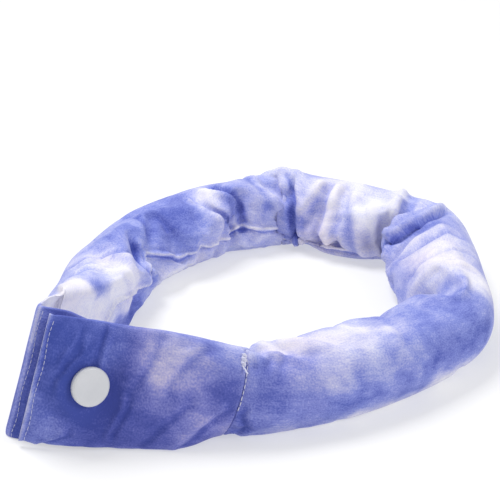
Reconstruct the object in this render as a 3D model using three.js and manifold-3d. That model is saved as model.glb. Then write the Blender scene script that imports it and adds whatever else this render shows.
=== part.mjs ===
// A cooling neck wrap: one sewn cloth sleeve, filled with soaked cooling beads along its middle and left flat at
// both ends. It lies closed in a ring on a table, the front tab over the rear tab, held by a plastic snap.
// Millimetres, +Z up. Seen from the front (looking along +Y) the snap faces the viewer at the left.
// The origin is the middle of the footprint, on the table.
import * as THREE from "three";
import { mergeVertices } from "three/addons/utils/BufferGeometryUtils.js";
import Module from "manifold-3d";

// Driving dimensions of the sleeve and of the ring that it lies in
const STRIP_WIDTH = 50; // the sleeve pressed flat
const SHEET = 2; // the flat tabs: two layers of cloth and their seam allowance
const FILLED_DIAMETER = (2 * STRIP_WIDTH) / Math.PI; // the same cloth blown round by the beads
const LOOP_WIDTH = 145; // between the middles of the filled tube, left to right
const LOOP_DEPTH = 185; // the same, front to back
const PRESSED_DEPTH = 1.2; // how far the filled tube is flattened where it lies on the table
const CLEARANCE = 0.3; // between pieces that touch

// Driving dimensions of the snap
const CAP_DIAMETER = 15;
const CAP_THICKNESS = 2.6;
const CAP_EDGE = 1; // rounding of the cap's rim
const POST_DIAMETER = 3.6;
const SOCKET_DIAMETER = 10.5;
const SOCKET_THICKNESS = 2.6;
const SOCKET_EDGE = 0.5; // chamfer of the socket's rim
const SNAP_ROW = 1.11; // the snap's middle, counted in rows of the front tab's table
const SNAP_HEIGHT = 0.5; // the same, up the tab's height
const SNAP_TURN = 27; // degrees that the snap turns the cloth round it to the right
const FOLLOW_LENGTH = 13; // how far from the snap the cloth follows that turn

// The space between the two tabs holds the socket, which lies a clearance off both
const TAB_SPACING = SHEET + SOCKET_THICKNESS + 2 * CLEARANCE;

// Fineness of the meshes
const RING_HALF = 10; // steps from foot to top on each face of a section
const TUBE_STEP = 3.9;
const TAB_STEP = 5;
const ROUND_STEPS = 28;
const RIM_STEPS = 4;

// Sections of the sleeve, walked anticlockwise from above. x and y place the middle of a section, as shares of
// LOOP_WIDTH and LOOP_DEPTH. high, foot, leanX and leanY are shares of STRIP_WIDTH: its height, how far its foot is
// off the table, and how far its top lies from its foot. out and inward are how far its two faces bulge, as shares
// of FILLED_DIAMETER: in a flat tab they cancel out.
const FRONT_TAB = [
  { x: -0.544, y: -0.716, high: 1.03, foot: 0.045, leanX: 0.27, leanY: 0.0, out: 0.0, inward: 0.0 },
  { x: -0.424, y: -0.711, high: 0.94, foot: 0.035, leanX: 0.2, leanY: 0.16, out: 0.03, inward: -0.03 },
  { x: -0.29, y: -0.705, high: 0.89, foot: 0.01, leanX: 0.1, leanY: 0.2, out: 0.06, inward: -0.06 },
  { x: -0.165, y: -0.697, high: 0.83, foot: 0.0, leanX: 0.06, leanY: 0.18, out: 0.14, inward: -0.14 },
];
const FRONT_SEAM = { x: -0.055, y: -0.66, high: 0.71, foot: 0.0, leanX: 0.2, leanY: 0.02, out: 0.32, inward: -0.26 };
const FILLED_TUBE = [
  { x: 0.04, y: -0.635, high: 0.69, out: 0.44, inward: 0.3 },
  { x: 0.13, y: -0.6, high: 0.66, out: 0.5, inward: 0.5 },
  { x: 0.239, y: -0.557, high: 0.66, out: 0.5, inward: 0.5 },
  { x: 0.388, y: -0.462, high: 0.65, out: 0.51, inward: 0.52 },
  { x: 0.53, y: -0.332, high: 0.61, out: 0.52, inward: 0.56 },
  { x: 0.562, y: -0.205, high: 0.56, out: 0.54, inward: 0.58 },
  { x: 0.555, y: -0.07, high: 0.56, out: 0.56, inward: 0.58 },
  { x: 0.54, y: 0.08, high: 0.6, out: 0.58, inward: 0.56 },
  { x: 0.5, y: 0.2, high: 0.66, out: 0.63, inward: 0.5 },
  { x: 0.425, y: 0.25, high: 0.66, out: 0.54, inward: 0.44 },
  { x: 0.328, y: 0.282, high: 0.65, out: 0.5, inward: 0.48 },
  { x: 0.23, y: 0.322, high: 0.66, out: 0.48, inward: 0.5 },
  { x: 0.124, y: 0.37, high: 0.73, out: 0.46, inward: 0.5 },
  { x: 0.034, y: 0.355, high: 0.63, out: 0.5, inward: 0.48 },
  { x: -0.087, y: 0.308, high: 0.65, out: 0.5, inward: 0.52 },
  { x: -0.194, y: 0.249, high: 0.65, out: 0.5, inward: 0.52 },
  { x: -0.298, y: 0.149, high: 0.65, out: 0.48, inward: 0.5 },
  { x: -0.358, y: 0.06, high: 0.61, out: 0.54, inward: 0.5 },
  { x: -0.39, y: -0.037, high: 0.6, out: 0.64, inward: 0.56 },
  { x: -0.418, y: -0.156, high: 0.58, out: 0.62, inward: 0.57 },
  { x: -0.448, y: -0.259, high: 0.61, out: 0.58, inward: 0.5 },
  { x: -0.475, y: -0.345, high: 0.67, out: 0.44, inward: 0.3 },
];
const REAR_SEAM = { x: -0.5, y: -0.43, high: 0.76, foot: 0.0, leanX: 0.04, leanY: 0.0, out: 0.24, inward: -0.24 };
const REAR_TAB_RETURN = [
  { x: -0.53, y: -0.515, high: 0.88, foot: 0.0, leanX: 0.12, leanY: 0.02, out: 0.12, inward: -0.12 },
  { x: -0.562, y: -0.59, high: 0.97, foot: 0.0, leanX: 0.22, leanY: 0.03, out: 0.04, inward: -0.04 },
];
// The rest of the rear tab lies behind the front tab. Each row is a place on the front tab's own line, counted in
// rows of its table, where a negative one lies beyond the tip: the tab turns there, and comes back to the right.
const REAR_TAB_BEHIND = [
  { row: -0.22, set: 1.75, high: 1.06, foot: 0.0 },
  { row: -0.04, set: 1.1, high: 1.05, foot: 0.0 },
  { row: 0.4, set: 1, high: 0.99, foot: 0.0 },
  { row: 1.2, set: 1, high: 0.87, foot: 0.0 },
  { row: 2.7, set: 1, high: 0.76, foot: 0.0 },
];

// Folds pressed into the filled tube. at is a place along it, from 0 at the front seam to 1 at the rear one.
// facing is the side of the section it is on: 0 outside, 90 top, 180 inside, 270 underneath. depth is a share of
// FILLED_DIAMETER, before and after how far its two flanks run along the tube as shares of STRIP_WIDTH, spread the
// degrees it covers either way, and slant how far its line moves along the tube per 90 degrees.
const FOLDS = [
  { at: 0.035, facing: 95, depth: 0.05, before: 0.12, after: 0.18, spread: 60, slant: 0 },
  { at: 0.05, facing: 200, depth: 0.12, before: 0.14, after: 0.22, spread: 55, slant: 0 },
  { at: 0.292, facing: 178, depth: 0.24, before: 0.18, after: 0.15, spread: 48, slant: 0.2 },
  { at: 0.34, facing: 140, depth: 0.07, before: 0.14, after: 0.2, spread: 40, slant: 0.25 },
  { at: 0.415, facing: 125, depth: 0.08, before: 0.12, after: 0.14, spread: 35, slant: -0.4 },
  { at: 0.467, facing: 160, depth: 0.27, before: 0.13, after: 0.16, spread: 68, slant: 0.14 },
  { at: 0.53, facing: 125, depth: 0.06, before: 0.13, after: 0.13, spread: 45, slant: -0.2 },
  { at: 0.566, facing: 175, depth: 0.26, before: 0.13, after: 0.15, spread: 68, slant: -0.02 },
  { at: 0.6, facing: 90, depth: 0.05, before: 0.12, after: 0.14, spread: 35, slant: 0.1 },
  { at: 0.66, facing: 165, depth: 0.26, before: 0.17, after: 0.12, spread: 62, slant: 0.06 },
  { at: 0.695, facing: 120, depth: 0.08, before: 0.12, after: 0.14, spread: 50, slant: -0.12 },
  { at: 0.77, facing: 110, depth: 0.05, before: 0.14, after: 0.14, spread: 55, slant: 0.5 },
  { at: 0.845, facing: 165, depth: 0.26, before: 0.15, after: 0.14, spread: 58, slant: 0.25 },
  { at: 0.85, facing: 75, depth: 0.035, before: 0.12, after: 0.14, spread: 45, slant: 0.8 },
  { at: 0.952, facing: 130, depth: 0.1, before: 0.13, after: 0.13, spread: 38, slant: -0.3 },
];

// One row in millimetres. A filled row has no foot or lean of its own.
function inMillimetres({ x, y, high, foot = 0, leanX = 0, leanY = 0, out, inward }) {
  return {
    x: x * LOOP_WIDTH,
    y: y * LOOP_DEPTH,
    high: high * STRIP_WIDTH,
    foot: foot * STRIP_WIDTH,
    leanX: leanX * STRIP_WIDTH,
    leanY: leanY * STRIP_WIDTH,
    out: out * FILLED_DIAMETER,
    inward: inward * FILLED_DIAMETER,
  };
}

// A smooth value between the rows of a list: Catmull-Rom on one column, running on straight past both ends.
function columnAt(rows, column, place) {
  const last = rows.length - 1;
  const value = (i) => {
    if (i < 0) return rows[0][column] + (rows[1][column] - rows[0][column]) * i;
    if (i > last) return rows[last][column] + (rows[last][column] - rows[last - 1][column]) * (i - last);
    return rows[i][column];
  };
  const i = Math.floor(place);
  const t = place - i;
  const [p0, p1, p2, p3] = [i - 1, i, i + 1, i + 2].map(value);
  const bend = 2 * p0 - 5 * p1 + 4 * p2 - p3;
  const twist = 3 * (p1 - p2) + p3 - p0;
  return p1 + 0.5 * t * (p2 - p0 + t * (bend + t * twist));
}

function rowAt(rows, place) {
  return Object.fromEntries(Object.keys(rows[0]).map((column) => [column, columnAt(rows, column, place)]));
}

// The way the sleeve runs at a place, and the way out of the ring there
function headingAt(rows, place) {
  const small = 0.02;
  const dx = columnAt(rows, "x", place + small) - columnAt(rows, "x", place - small);
  const dy = columnAt(rows, "y", place + small) - columnAt(rows, "y", place - small);
  return new THREE.Vector3(dx, dy, 0).normalize();
}

function outwardAt(rows, place) {
  const heading = headingAt(rows, place);
  return new THREE.Vector3(heading.y, -heading.x, 0);
}

// A rear tab row that lies behind the front tab, its set counted in spacings between the two tabs. It has the front
// tab's slope at the heights that it covers itself.
function behindFront(front, { row, set, high, foot }) {
  const beside = rowAt(front, row);
  const away = outwardAt(front, row).multiplyScalar(-TAB_SPACING * set);
  const [height, bottom] = [high * STRIP_WIDTH, foot * STRIP_WIDTH];
  const share = height / beside.high;
  const lift = (bottom + height / 2 - beside.foot - beside.high / 2) / beside.high;
  return {
    ...beside,
    x: beside.x + away.x + beside.leanX * lift,
    y: beside.y + away.y + beside.leanY * lift,
    high: height,
    foot: bottom,
    leanX: beside.leanX * share,
    leanY: beside.leanY * share,
  };
}

const frontRows = [...FRONT_TAB, FRONT_SEAM].map(inMillimetres);
const rows = [
  ...frontRows,
  ...FILLED_TUBE.map(inMillimetres),
  ...[REAR_SEAM, ...REAR_TAB_RETURN].map(inMillimetres),
  ...REAR_TAB_BEHIND.map((row) => behindFront(frontRows, row)),
];
const frontSeamPlace = FRONT_TAB.length;
const rearSeamPlace = frontSeamPlace + FILLED_TUBE.length + 1;
const rearTipPlace = rows.length - 1;

const HALF_TURN = 180; // degrees

// How far a fold presses a point of the filled tube in
function foldDepth(share, degrees, tubeLength) {
  let depth = 0;
  for (const fold of FOLDS) {
    const round = ((degrees - fold.facing + 3 * HALF_TURN) % (2 * HALF_TURN)) - HALF_TURN;
    const line = fold.at * tubeLength + fold.slant * STRIP_WIDTH * (round / (HALF_TURN / 2));
    const along = share * tubeLength - line;
    const flank = (along < 0 ? fold.before : fold.after) * STRIP_WIDTH;
    const across = Math.exp(-((round / fold.spread) ** 2));
    depth += fold.depth * FILLED_DIAMETER * Math.exp(-((along / flank) ** 2)) * across;
  }
  return depth;
}

// A point of the sleeve's middle sheet: how far round it is, from -1 at the foot to 1 at the top, and how far it
// bulges out of the line between the two
function sheetPoint(place, up, bulge) {
  const row = rowAt(rows, place);
  const p = new THREE.Vector3(row.x, row.y, row.foot + (row.high / 2) * (1 + up));
  p.addScaledVector(outwardAt(rows, place), bulge);
  p.x += (row.leanX * up) / 2;
  p.y += (row.leanY * up) / 2;
  return p;
}

const snapUp = 2 * SNAP_HEIGHT - 1;
const snapBulge = (place) => rowAt(rows, place).out * Math.sqrt(1 - snapUp * snapUp);
const snapFoot = sheetPoint(SNAP_ROW, snapUp, snapBulge(SNAP_ROW));
const snapHeading = headingAt(rows, SNAP_ROW);
const snapOutward = outwardAt(rows, SNAP_ROW);

// The snap is stiffer than the cloth, so both tabs turn with it near its middle.
function turnAtSnap(p) {
  const along = snapHeading.dot(p.clone().sub(snapFoot));
  const distance = Math.hypot(along, p.z - snapFoot.z) / FOLLOW_LENGTH;
  const slope = Math.tan(THREE.MathUtils.degToRad(SNAP_TURN));
  return p.addScaledVector(snapOutward, -slope * along * Math.exp(-(distance ** 4)));
}

// The closed ring of points round the sleeve at a place: up its outer face from the foot, down its inner face
function sectionRing(place, fold) {
  const row = rowAt(rows, place);
  const centre = new THREE.Vector3(row.x, row.y, row.foot + row.high / 2);
  const point = (step, bulge, side) => {
    const angle = Math.PI * (step / RING_HALF - 0.5);
    const p = sheetPoint(place, Math.sin(angle), side * (bulge * Math.cos(angle) + SHEET / 2));
    if (!fold) return turnAtSnap(p);
    const degrees = THREE.MathUtils.radToDeg(side > 0 ? angle : Math.PI - angle);
    p.addScaledVector(centre.clone().sub(p).normalize(), fold(degrees));
    p.z = Math.max(0, p.z - PRESSED_DEPTH);
    return p;
  };
  const steps = Array.from({ length: RING_HALF + 1 }, (_, i) => i);
  return [
    ...steps.map((i) => point(i, row.out, 1)),
    ...steps.map((i) => point(RING_HALF - i, row.inward, -1)),
  ];
}

// Places from one to another, about a step apart along the sleeve
function placesBetween(from, to, step) {
  const fine = 40;
  const marks = [{ place: from, run: 0 }];
  const count = Math.ceil((to - from) * fine);
  for (let i = 1; i <= count; i += 1) {
    const place = from + ((to - from) * i) / count;
    const before = marks[i - 1];
    const dx = columnAt(rows, "x", place) - columnAt(rows, "x", before.place);
    const dy = columnAt(rows, "y", place) - columnAt(rows, "y", before.place);
    marks.push({ place, run: before.run + Math.hypot(dx, dy) });
  }
  const length = marks[count].run;
  const pieces = Math.max(2, Math.round(length / step));
  const places = [];
  for (let i = 0; i <= pieces; i += 1) {
    const run = (length * i) / pieces;
    const k = Math.min(count, Math.max(1, marks.findIndex((mark) => mark.run >= run - 1e-9)));
    const [a, b] = [marks[k - 1], marks[k]];
    const t = (run - a.run) / (b.run - a.run);
    places.push({ place: a.place + (b.place - a.place) * t, share: i / pieces });
  }
  return { places, length };
}

// A closed solid skinned over a row of rings, each with the same number of points
function skinRings(rings) {
  const round = rings[0].length;
  const positions = rings.flat().flatMap((p) => [p.x, p.y, p.z]);
  const index = [];
  for (let i = 0; i + 1 < rings.length; i += 1) {
    for (let j = 0; j < round; j += 1) {
      const a = i * round + j;
      const b = i * round + ((j + 1) % round);
      index.push(a, a + round, b, b, a + round, b + round);
    }
  }
  const half = round / 2;
  const closeEnd = (start, facing) => {
    for (let j = 0; j + 1 < half; j += 1) {
      const [outer, outerNext] = [start + j, start + j + 1];
      const [inner, innerNext] = [start + round - 1 - j, start + round - 2 - j];
      const faces = [outer, outerNext, inner, outerNext, innerNext, inner];
      index.push(...(facing < 0 ? faces : faces.reverse()));
    }
  };
  closeEnd(0, -1);
  closeEnd((rings.length - 1) * round, 1);
  const geometry = new THREE.BufferGeometry();
  geometry.setAttribute("position", new THREE.Float32BufferAttribute(positions, 3));
  geometry.setIndex(index);
  return geometry;
}

const wasm = await Module();
wasm.setup();

function solidFrom(geometry) {
  const bare = geometry.clone();
  for (const name of Object.keys(bare.attributes)) {
    if (name !== "position") bare.deleteAttribute(name);
  }
  const merged = mergeVertices(bare, 1e-4);
  return new wasm.Manifold(
    new wasm.Mesh({
      numProp: 3,
      vertProperties: merged.attributes.position.array,
      triVerts: new Uint32Array(merged.index.array),
    }),
  );
}

function geometryFrom(solid) {
  const { vertProperties, triVerts } = solid.getMesh();
  const geometry = new THREE.BufferGeometry();
  geometry.setAttribute("position", new THREE.BufferAttribute(vertProperties, 3));
  geometry.setIndex(new THREE.BufferAttribute(triVerts, 1));
  geometry.computeVertexNormals();
  return geometry;
}

// The snap's axis: its point on the front tab's middle sheet, and the way out of the cloth there
function snapAxis() {
  const small = 0.05;
  const turned = (place, up) => turnAtSnap(sheetPoint(place, up, snapBulge(place)));
  const along = turned(SNAP_ROW + small, snapUp).sub(turned(SNAP_ROW - small, snapUp));
  const upwards = turned(SNAP_ROW, snapUp + small).sub(turned(SNAP_ROW, snapUp - small));
  return { at: turned(SNAP_ROW, snapUp), out: along.cross(upwards).normalize() };
}
const snap = snapAxis();
const turnToSnap = new THREE.Quaternion().setFromUnitVectors(new THREE.Vector3(0, 1, 0), snap.out);

// A turned piece of the snap, its profile given as radius and distance out along the snap's axis
function turnedOnSnap(profile, offset) {
  return new THREE.LatheGeometry(
    profile.map(([radius, height]) => new THREE.Vector2(radius, height)),
    ROUND_STEPS,
  )
    .applyQuaternion(turnToSnap)
    .translate(...snap.at.clone().addScaledVector(snap.out, offset).toArray());
}

// A cap with a rounded rim, whose post runs back through the cloth as far as the socket
function capProfile(postLength) {
  const radius = CAP_DIAMETER / 2;
  const rim = Array.from({ length: RIM_STEPS + 1 }, (_, i) => {
    const angle = (Math.PI / 2) * (i / RIM_STEPS);
    return [
      radius - CAP_EDGE + CAP_EDGE * Math.cos(angle),
      CAP_THICKNESS - CAP_EDGE + CAP_EDGE * Math.sin(angle),
    ];
  });
  return [[0, -postLength], [POST_DIAMETER / 2, -postLength], [POST_DIAMETER / 2, 0], [radius, 0], ...rim,
    [0, CAP_THICKNESS]];
}

const capSeat = SHEET / 2 + CLEARANCE;
const postLength = SHEET + CLEARANCE;

function frontCap() {
  return turnedOnSnap(capProfile(postLength), capSeat);
}

// The rear tab's own cap is the front one turned round, on the far face of the rear tab
function rearCap() {
  const profile = capProfile(postLength).map(([radius, height]) => [radius, -height]).reverse();
  return turnedOnSnap(profile, -TAB_SPACING - capSeat);
}

// The closed socket and stud between the two tabs, as one plain disc
function socket() {
  const radius = SOCKET_DIAMETER / 2;
  const half = SOCKET_THICKNESS / 2;
  const profile = [[0, -half], [radius - SOCKET_EDGE, -half], [radius, SOCKET_EDGE - half],
    [radius, half - SOCKET_EDGE], [radius - SOCKET_EDGE, half], [0, half]];
  return turnedOnSnap(profile, -TAB_SPACING / 2);
}

// The room that the whole snap takes in the two tabs, a clearance off it all round: a hole for each post, and the
// cloth pressed back where it would stand in the way of a cap or the socket
function snapRoom() {
  const [capRadius, socketRadius, postRadius] = [CAP_DIAMETER, SOCKET_DIAMETER, POST_DIAMETER].map(
    (diameter) => diameter / 2 + CLEARANCE,
  );
  const frontFace = capSeat - CLEARANCE;
  const rearFace = -TAB_SPACING - frontFace;
  const socketHalf = SOCKET_THICKNESS / 2 + CLEARANCE;
  const reach = CAP_THICKNESS + CLEARANCE;
  const profile = [
    [0, rearFace - reach], [capRadius, rearFace - reach], [capRadius, rearFace], [postRadius, rearFace],
    [postRadius, -TAB_SPACING / 2 - socketHalf], [socketRadius, -TAB_SPACING / 2 - socketHalf],
    [socketRadius, -TAB_SPACING / 2 + socketHalf], [postRadius, -TAB_SPACING / 2 + socketHalf],
    [postRadius, frontFace], [capRadius, frontFace], [capRadius, frontFace + reach], [0, frontFace + reach],
  ];
  return solidFrom(turnedOnSnap(profile, 0));
}

function tubeSolid() {
  const { places, length } = placesBetween(frontSeamPlace, rearSeamPlace, TUBE_STEP);
  const fade = (share) => Math.min(1, (Math.min(share, 1 - share) * length) / (FILLED_DIAMETER / 2));
  const rings = places.map(({ place, share }) =>
    sectionRing(place, (degrees) => fade(share) * foldDepth(share, degrees, length)));
  return skinRings(rings);
}

// A flat tab between two places, with the snap's room taken out of it
function tabSolid(from, to) {
  const { places } = placesBetween(from, to, TAB_STEP);
  const skin = solidFrom(skinRings(places.map(({ place }) => sectionRing(place, null))));
  return geometryFrom(skin.subtract(snapRoom()));
}

// The share of a row that a length is at a place
function placeStep(place, length) {
  const small = 0.01;
  const dx = columnAt(rows, "x", place + small) - columnAt(rows, "x", place - small);
  const dy = columnAt(rows, "y", place + small) - columnAt(rows, "y", place - small);
  return (length * 2 * small) / Math.hypot(dx, dy);
}

const cloth = (color) => new THREE.MeshStandardMaterial({ color, roughness: 0.9, metalness: 0 });
const plastic = () => new THREE.MeshStandardMaterial({ color: 0xe4e4e8, roughness: 0.35, metalness: 0 });

function piece(name, geometry, material) {
  const mesh = new THREE.Mesh(geometry, material);
  mesh.name = name;
  return mesh;
}

const wrap = new THREE.Group();
wrap.add(
  piece("padded_tube", tubeSolid(), cloth(0x9aa0dc)),
  piece("front_tab", tabSolid(0, frontSeamPlace - placeStep(frontSeamPlace, CLEARANCE)), cloth(0x5560b8)),
  piece("rear_tab", tabSolid(rearSeamPlace + placeStep(rearSeamPlace, CLEARANCE), rearTipPlace), cloth(0x6a70c0)),
  piece("front_snap_cap", frontCap(), plastic()),
  piece("snap_socket", socket(), plastic()),
  piece("rear_snap_cap", rearCap(), plastic()),
);

// Stands the origin in the middle of the footprint, on the table
const footprint = new THREE.Box3().setFromObject(wrap);
const middle = footprint.getCenter(new THREE.Vector3());
wrap.position.set(-middle.x, -middle.y, -footprint.min.z);

export default wrap;
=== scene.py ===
# %% [markdown]
# # A cooling neck wrap in tie-dyed cotton
# The wrap is one long sleeve of cotton. Soaked gel beads fill its middle, and both ends stay flat as tabs.
# It lies closed in a ring: the front tab comes over the rear one, and a plastic snap holds them. The
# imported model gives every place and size. This script adds the cloth, its folds and seams, and the dye.

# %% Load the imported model
import math

import bmesh
import bpy
import numpy as np
from mathutils import Matrix, Vector, noise
from mathutils.bvhtree import BVHTree
from mathutils.geometry import barycentric_transform


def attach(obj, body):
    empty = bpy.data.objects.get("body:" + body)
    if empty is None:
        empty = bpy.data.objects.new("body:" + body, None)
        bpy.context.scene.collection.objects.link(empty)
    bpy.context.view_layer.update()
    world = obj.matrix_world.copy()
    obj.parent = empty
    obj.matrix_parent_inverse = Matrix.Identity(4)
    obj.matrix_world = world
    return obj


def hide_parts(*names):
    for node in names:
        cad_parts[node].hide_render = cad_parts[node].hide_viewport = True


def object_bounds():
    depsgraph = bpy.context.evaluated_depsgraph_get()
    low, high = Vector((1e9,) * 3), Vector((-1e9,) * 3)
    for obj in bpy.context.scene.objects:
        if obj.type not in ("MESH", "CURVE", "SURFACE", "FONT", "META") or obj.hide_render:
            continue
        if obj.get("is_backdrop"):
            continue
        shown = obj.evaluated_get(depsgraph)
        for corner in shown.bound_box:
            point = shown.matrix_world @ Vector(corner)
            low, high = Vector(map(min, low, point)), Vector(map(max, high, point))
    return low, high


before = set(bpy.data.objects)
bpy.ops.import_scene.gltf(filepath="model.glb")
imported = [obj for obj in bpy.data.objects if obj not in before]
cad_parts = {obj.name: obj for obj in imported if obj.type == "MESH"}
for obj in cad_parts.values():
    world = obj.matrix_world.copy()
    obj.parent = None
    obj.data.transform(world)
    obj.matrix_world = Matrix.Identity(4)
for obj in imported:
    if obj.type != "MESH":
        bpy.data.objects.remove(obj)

cad_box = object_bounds()
print("nodes:", ", ".join(sorted(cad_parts)))

# %% [markdown]
# ## Sizes
# The cloth is worked out from the same driving sizes as the solids. They are millimetres here, as a maker
# measures cloth, and one helper turns them into metres.

# %% Driving sizes
MM = 0.001
STRIP_WIDTH = 50.0
SHEET = 2.0
FILLED_DIAMETER = 2 * STRIP_WIDTH / math.pi
LOOP_WIDTH = 145.0
LOOP_DEPTH = 185.0
PRESSED_DEPTH = 1.2
CLEARANCE = 0.3
SOCKET_THICKNESS = 2.6
CAP_DIAMETER = 15.0
CAP_THICKNESS = 2.6
SNAP_ROW = 1.11
SNAP_TURN = math.radians(27)
FOLLOW_LENGTH = 13.0
TAB_SPACING = SHEET + SOCKET_THICKNESS + 2 * CLEARANCE
RING_MIDDLE = np.array([-4.024, 27.37, 0.036])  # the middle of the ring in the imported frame


def in_frame(points):
    """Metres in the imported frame, from millimetres about the middle of the ring."""
    return (np.asarray(points) + RING_MIDDLE) * MM


# %% [markdown]
# ## The camera
# The photograph looks down at the ring with a long lens. The camera goes in first, because the folds and
# the dye are set by what it shows.

# %% Camera
CAMERA_DISTANCE = 900.0
CAMERA_RISE = math.radians(24)
LENS = 151.4
SENSOR = 36.0
FRAME_PIXELS = 500
RING_BELOW_CENTRE = 50  # pixels that the middle of the ring lies under the middle of the picture


def link_piece(name, data):
    """Puts a new object with this data in the scene."""
    piece = bpy.data.objects.new(name, data)
    bpy.context.collection.objects.link(piece)
    return piece


def make_camera():
    focal_pixels = LENS / SENSOR * FRAME_PIXELS
    pitch = CAMERA_RISE - math.atan(RING_BELOW_CENTRE / focal_pixels)
    data = bpy.data.cameras.new("camera")
    data.lens = LENS
    data.sensor_width = SENSOR
    camera = link_piece("camera", data)
    back = np.array([0.0, -math.cos(CAMERA_RISE), math.sin(CAMERA_RISE)]) * CAMERA_DISTANCE
    camera.location = in_frame(back)
    camera.rotation_euler = (math.pi / 2 - pitch, 0, 0)
    bpy.context.scene.camera = camera
    print("camera at", [round(x, 3) for x in camera.location])


make_camera()

# %% [markdown]
# ## The line of the sleeve
# A few sections say where the sleeve runs, how high it stands and how far its two faces bulge. They are
# the sections of the solids, so that the cloth lies where its solid is. Between them every value follows a
# smooth curve through the rows. A curve object could carry the sleeve too, but not its changing height and
# lean.

# %% Sections of the sleeve
# x and y are shares of LOOP_WIDTH and LOOP_DEPTH; high, foot, lean_x and lean_y are shares of STRIP_WIDTH;
# out and inward are shares of FILLED_DIAMETER. The filled tube's rows have x, y, high, out and inward alone.
COLUMNS = ("x", "y", "high", "foot", "lean_x", "lean_y", "out", "inward")
FRONT_TAB = [
    (-0.544, -0.716, 1.03, 0.045, 0.27, 0.0, 0.0, 0.0),
    (-0.424, -0.711, 0.94, 0.035, 0.2, 0.16, 0.03, -0.03),
    (-0.29, -0.705, 0.89, 0.01, 0.1, 0.2, 0.06, -0.06),
    (-0.165, -0.697, 0.83, 0.0, 0.06, 0.18, 0.14, -0.14),
]
FRONT_SEAM = (-0.055, -0.66, 0.71, 0.0, 0.2, 0.02, 0.32, -0.26)
FILLED_TUBE = [
    (0.04, -0.635, 0.69, 0.44, 0.3),
    (0.13, -0.6, 0.66, 0.5, 0.5),
    (0.239, -0.557, 0.66, 0.5, 0.5),
    (0.388, -0.462, 0.65, 0.51, 0.52),
    (0.53, -0.332, 0.61, 0.52, 0.56),
    (0.562, -0.205, 0.56, 0.54, 0.58),
    (0.555, -0.07, 0.56, 0.56, 0.58),
    (0.54, 0.08, 0.6, 0.58, 0.56),
    (0.5, 0.2, 0.66, 0.63, 0.5),
    (0.425, 0.25, 0.66, 0.54, 0.44),
    (0.328, 0.282, 0.65, 0.5, 0.48),
    (0.23, 0.322, 0.66, 0.48, 0.5),
    (0.124, 0.37, 0.73, 0.46, 0.5),
    (0.034, 0.355, 0.63, 0.5, 0.48),
    (-0.087, 0.308, 0.65, 0.5, 0.52),
    (-0.194, 0.249, 0.65, 0.5, 0.52),
    (-0.298, 0.149, 0.65, 0.48, 0.5),
    (-0.358, 0.06, 0.61, 0.54, 0.5),
    (-0.39, -0.037, 0.6, 0.64, 0.56),
    (-0.418, -0.156, 0.58, 0.62, 0.57),
    (-0.448, -0.259, 0.61, 0.58, 0.5),
    (-0.475, -0.345, 0.67, 0.44, 0.3),
]
REAR_SEAM = (-0.5, -0.43, 0.76, 0.0, 0.04, 0.0, 0.24, -0.24)
REAR_TAB_RETURN = [
    (-0.53, -0.515, 0.88, 0.0, 0.12, 0.02, 0.12, -0.12),
    (-0.562, -0.59, 0.97, 0.0, 0.22, 0.03, 0.04, -0.04),
]
# row on the front tab's line, how many spacings behind it, then high and foot as above
REAR_TAB_BEHIND = [
    (-0.22, 1.75, 1.06, 0.0),
    (-0.04, 1.1, 1.05, 0.0),
    (0.4, 1.0, 0.99, 0.0),
    (1.2, 1.0, 0.87, 0.0),
    (2.7, 1.0, 0.76, 0.0),
]
X, Y, HIGH, FOOT, LEAN_X, LEAN_Y, OUT, INWARD = range(len(COLUMNS))
SHARE_OF = np.array([LOOP_WIDTH, LOOP_DEPTH] + [STRIP_WIDTH] * 4 + [FILLED_DIAMETER] * 2)
print(len(FRONT_TAB) + len(FILLED_TUBE) + len(REAR_TAB_RETURN) + len(REAR_TAB_BEHIND) + 2, "sections")

# %% Values between the sections


def rows_at(rows, places):
    """The rows at any places between them, on a smooth curve that runs on straight past both ends."""
    places = np.atleast_1d(places).astype(float)
    last = len(rows) - 1
    first_of = np.floor(places).astype(int)
    t = (places - first_of)[:, None]

    def value(index):
        found = rows[np.clip(index, 0, last)].copy()
        before, after = index < 0, index > last
        found[before] = rows[0] + (rows[1] - rows[0]) * index[before][:, None]
        found[after] = rows[last] + (rows[last] - rows[last - 1]) * (index[after] - last)[:, None]
        return found

    p0, p1, p2, p3 = (value(first_of + step) for step in (-1, 0, 1, 2))
    bend = 2 * p0 - 5 * p1 + 4 * p2 - p3
    twist = 3 * (p1 - p2) + p3 - p0
    return p1 + 0.5 * t * (p2 - p0 + t * (bend + t * twist))


def outward_at(rows, places):
    """The level direction out of the ring at each place."""
    small = 0.02
    step = rows_at(rows, np.asarray(places) + small) - rows_at(rows, np.asarray(places) - small)
    heading = step[:, :2] / np.linalg.norm(step[:, :2], axis=1, keepdims=True)
    return np.stack([heading[:, 1], -heading[:, 0]], axis=1)


def behind_front(front, row, spacings, high, foot):
    """A row of the rear tab, set back from the front tab and with its slope."""
    beside = rows_at(front, row)[0]
    away = outward_at(front, [row])[0] * -TAB_SPACING * spacings
    high, foot = high * STRIP_WIDTH, foot * STRIP_WIDTH
    lift = (foot + high / 2 - beside[FOOT] - beside[HIGH] / 2) / beside[HIGH]
    made = beside.copy()
    made[X] += away[0] + beside[LEAN_X] * lift
    made[Y] += away[1] + beside[LEAN_Y] * lift
    made[HIGH], made[FOOT] = high, foot
    made[[LEAN_X, LEAN_Y]] *= high / beside[HIGH]
    return made


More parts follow.
